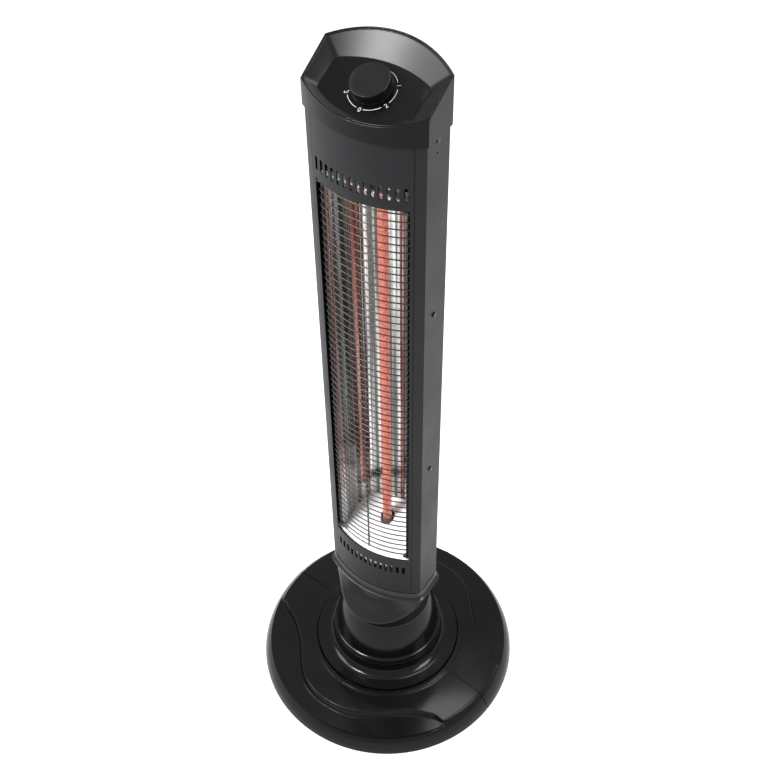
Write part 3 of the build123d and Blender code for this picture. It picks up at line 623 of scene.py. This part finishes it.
def make_neck():
    """The neck's skin, (r cos a, r sin a, z) over angle and height, closed by a straight bore."""
    turn = np.arange(NECK_STEPS) * 2 * np.pi / NECK_STEPS
    foot = [NECK_FOOT_Z, 133.6, 134, 134.6, 135.2, 135.9]
    band = [203.1, 203.3, 203.6, 204, 204.35, 204.7, 205, 205.4, 205.9, 206.5, 207.5, 208.5, 210, 212, 214.5,
            NECK_TOP_Z]
    height = np.concatenate([foot, np.linspace(136.6, 202.9, 68), band])
    ring = np.stack([np.cos(turn), np.sin(turn)], axis=1)
    shape = neck_radius(turn[None, :], height[:, None])[..., None] * ring[None]
    skin = np.concatenate([shape, np.broadcast_to(height[:, None, None], shape.shape[:2] + (1,))], axis=2)
    bore = np.concatenate([NECK_BORE * ring, np.zeros((NECK_STEPS, 1))], axis=1)
    rows = np.array([bore + [0, 0, NECK_FOOT_Z], *skin, bore + [0, 0, NECK_TOP_Z]])
    faces = grid_faces(len(rows), NECK_STEPS, True, True)[:, ::-1]
    return make_mesh("neck_skin", rows.reshape(-1, 3), faces)


dress(make_neck(), collar_black, "tower", ["neck_collar"])

# The dial's plane: its middle, and its directions to the right, to the rear and up, square to the panel
DIAL_MIDDLE = np.array([0, -9.9, 987.54])
DIAL_SLOPE = 0.40
DIAL_STEEP = math.hypot(1, DIAL_SLOPE)
DIAL_AXES = np.array([(1, 0, 0), (0, 1 / DIAL_STEEP, DIAL_SLOPE / DIAL_STEEP),
                      (0, -DIAL_SLOPE / DIAL_STEEP, 1 / DIAL_STEEP)])


def on_dial(points):
    """Points given in the dial's plane, moved to the part's frame."""
    return DIAL_MIDDLE + np.asarray(points, float) @ DIAL_AXES


def make_knob():
    """A profile turned about the dial's axis: it narrows a little to a small rounded edge, dished on top."""
    profile = rounded([(1, 14.0), (17, 14.0), (20.3, 14.3), (21.6, 0.4), (1, 0.4)], [0, 2, 0.9, 0.3, 0])
    count = len(profile)
    top = range(0, TURN_STEPS * count, count)
    foot = range(count - 1, TURN_STEPS * count, count)[::-1]
    faces = [*grid_faces(TURN_STEPS, count, closed_rows=True), top, foot]
    return make_mesh("knob_skin", on_dial(turned_points(profile)), faces)


dress(make_knob(), satin_black, "knob", ["knob"])

# The cap's rim: its height at the middle, how it rises to the rear, and two beads as growth of the outline
CAP_RIM_Z = 999.6
CAP_RIM_SLOPE = 0.537
BEAD_GROWTH = (1.3, -0.7)
BEAD_RADIUS = 0.75
BEAD_LIFT = -0.25


def rim_path(grow):
    """The tower's section, grown all round, on the cap's slope: a closed path from the rear's middle."""
    half = HALF_WIDTH + grow
    radius = BOW_RADIUS + grow
    x = np.concatenate([np.linspace(0, half, 40), [half] * 12, np.linspace(half, -half, 90)[1:-1],
                        [-half] * 12, np.linspace(-half, 0, 40)])
    front = BOW_CENTRE_Y - np.sqrt(radius ** 2 - x ** 2)
    rear = REAR_BOW_CENTRE_Y + np.sqrt(radius ** 2 - x ** 2)
    side = np.linspace(0, 1, 14)[1:-1]
    share = np.concatenate([np.zeros(40), side, np.ones(88), side[::-1], np.zeros(40)])
    y = rear + (front - rear) * share
    return np.stack([x, y, CAP_RIM_Z + CAP_RIM_SLOPE * y + BEAD_LIFT], axis=1)[:-1]


def make_rim_beads():
    """Two thin round beads along the outer and the inner edge of the cap's rim, which catch the light."""
    return make_tubes("rim_beads", [(rim_path(grow), BEAD_RADIUS, 10) for grow in BEAD_GROWTH], looped=True)


dress(make_rim_beads(), gloss_black, "tower")

# Strokes of the plain numbers, in millimetres about the middle of each
NUMBER_STROKES = {
    0: [(1.2 * math.cos(a), 2.1 * math.sin(a)) for a in np.linspace(0.3, 0.3 + 2 * math.pi, 15)],
    1: [(-0.7, 1.3), (0.2, 2.1), (0.2, 0), (0.2, -2.1)],
    2: [(-1.2, 1.2), (-0.7, 1.9), (0.2, 2.1), (1.1, 1.5), (1.0, 0.5), (0, -0.9), (-1.2, -2.1), (1.3, -2.1)],
    3: [(-1.2, 1.8), (0, 2.1), (1.0, 1.6), (0.9, 0.6), (0, 0.2), (1.1, -0.3), (1.2, -1.3), (0.3, -2.1),
        (-1.2, -1.8)],
}

# Where the numbers stand and what the arcs between them span, in degrees, and their radii and thickness
NUMBER_ANGLES = {1: 28, 2: -30, 0: -90, 3: -152}
NUMBER_RADIUS = 25.6
DIAL_ARCS = [(73, 38), (18, -20), (-41, -82), (-100, -143)]
ARC_RADIUS = 24.7
LINE_RADIUS = 0.36


def make_dial():
    """Thin raised lines: four arcs round the knob, and the plain numbers 0 to 3 with their feet outwards."""
    paths = []
    for first, last in DIAL_ARCS:
        turn = np.radians(np.linspace(first, last, 16))
        paths.append(np.stack([ARC_RADIUS * np.cos(turn), ARC_RADIUS * np.sin(turn), np.zeros(16)], axis=1))
    for number, angle in NUMBER_ANGLES.items():
        up = -np.array([math.cos(math.radians(angle)), math.sin(math.radians(angle)), 0])
        right = np.array([up[1], -up[0], 0])
        strokes = np.array(NUMBER_STROKES[number])
        paths.append(-NUMBER_RADIUS * up + strokes[:, :1] * right + strokes[:, 1:] * up)
    return make_tubes("dial_marks", [(path, LINE_RADIUS, 8) for path in paths], place=on_dial)


dress(make_dial(), dial_white, "tower")

# Floor: half its side in millimetres, its own grey, and the glow that lifts it towards white where seen
FLOOR_HALF = 9000.0
FLOOR_GREY = 0.4
FLOOR_GLOW = 0.84

# Surround: its strength as light on the object, and its strength where it is seen
SURROUND_LIGHT = 0.22
SURROUND_SEEN = 1.0


def seen_directly(tree):
    """A mask that is 1 for rays from the camera and for those that mirrors and glass send on."""
    outputs = tree.nodes.new("ShaderNodeLightPath").outputs
    either = math_node(tree, "MAXIMUM", outputs["Is Camera Ray"], outputs["Is Glossy Ray"])
    return math_node(tree, "MAXIMUM", either, outputs["Is Transmission Ray"])


def make_floor():
    """A wide pale floor that reads white to the camera and in reflections, and keeps the object's shadow."""
    corners = [(-1, -1, 0), (1, -1, 0), (1, 1, 0), (-1, 1, 0)]
    floor = make_mesh("floor", FLOOR_HALF * np.array(corners), [(0, 1, 2, 3)], smooth=False)
    material, tree, shader = new_material("pale_floor")
    shader.inputs["Base Color"].default_value = (FLOOR_GREY, FLOOR_GREY, FLOOR_GREY, 1)
    shader.inputs["Roughness"].default_value = 0.9
    shader.inputs["Emission Color"].default_value = (1, 1, 1, 1)
    glow = ramp(tree, seen_directly(tree), 0, 1, 0, FLOOR_GLOW)
    tree.links.new(glow, shader.inputs["Emission Strength"])
    floor.data.materials.append(material)


def make_world():
    """A plain white surround that lights the object less than it shows."""
    world = bpy.data.worlds.new("surround")
    world.use_nodes = True
    tree = world.node_tree
    background = tree.nodes["Background"]
    background.inputs["Color"].default_value = (1, 1, 1, 1)
    strength = ramp(tree, seen_directly(tree), 0, 1, SURROUND_LIGHT, SURROUND_SEEN)
    tree.links.new(strength, background.inputs["Strength"])
    bpy.context.scene.world = world


# Lamps: place and aim in metres, width and height in metres, and power in watts
SOFTBOXES = {
    "left_softbox": ((-1.5, -1.0, 1.9), (0, 0, 0.5), (0.8, 1.3), 48),
    "front_softbox": ((-0.72, -1.15, 2.30), (0, 0, 0.95), (0.50, 0.36), 62),
    "right_softbox": ((1.9, 0.2, 1.7), (0, 0, 0.5), (0.8, 1.3), 64),
    "top_softbox": ((0.0, 0.6, 2.6), (0, 0, 0.4), (1.2, 0.9), 34),
}


def make_softbox(name, place, aim, size, power):
    """A rectangular area lamp at a place, turned towards an aim point."""
    lamp = bpy.data.lights.new(name, "AREA")
    lamp.shape = "RECTANGLE"
    lamp.size, lamp.size_y = size
    lamp.energy = power
    box = add_object(name, lamp)
    box.location = place
    away = np.array(place) - np.array(aim)
    dip = math.acos(away[2] / np.linalg.norm(away))
    box.rotation_euler = (dip, 0, math.atan2(away[1], away[0]) + math.pi / 2)


def make_camera():
    """The camera, turned about Z, dipped and rolled."""
    data = bpy.data.cameras.new("camera")
    data.sensor_width = SENSOR
    data.lens = FOCAL_PIXELS / FRAME_PIXELS * SENSOR
    camera = add_object("camera", data)
    turn = Matrix.Rotation(math.radians(CAMERA_TURN), 4, "Z")
    dip = Matrix.Rotation(math.radians(90 - CAMERA_DIP), 4, "X")
    roll = Matrix.Rotation(math.radians(CAMERA_ROLL), 4, "Z")
    camera.matrix_world = Matrix.Translation(CAMERA_PLACE) @ turn @ dip @ roll
    bpy.context.scene.camera = camera


make_floor()
make_world()
for name, settings in SOFTBOXES.items():
    make_softbox(name, *settings)
make_camera()
bpy.context.scene.view_settings.view_transform = "Standard"
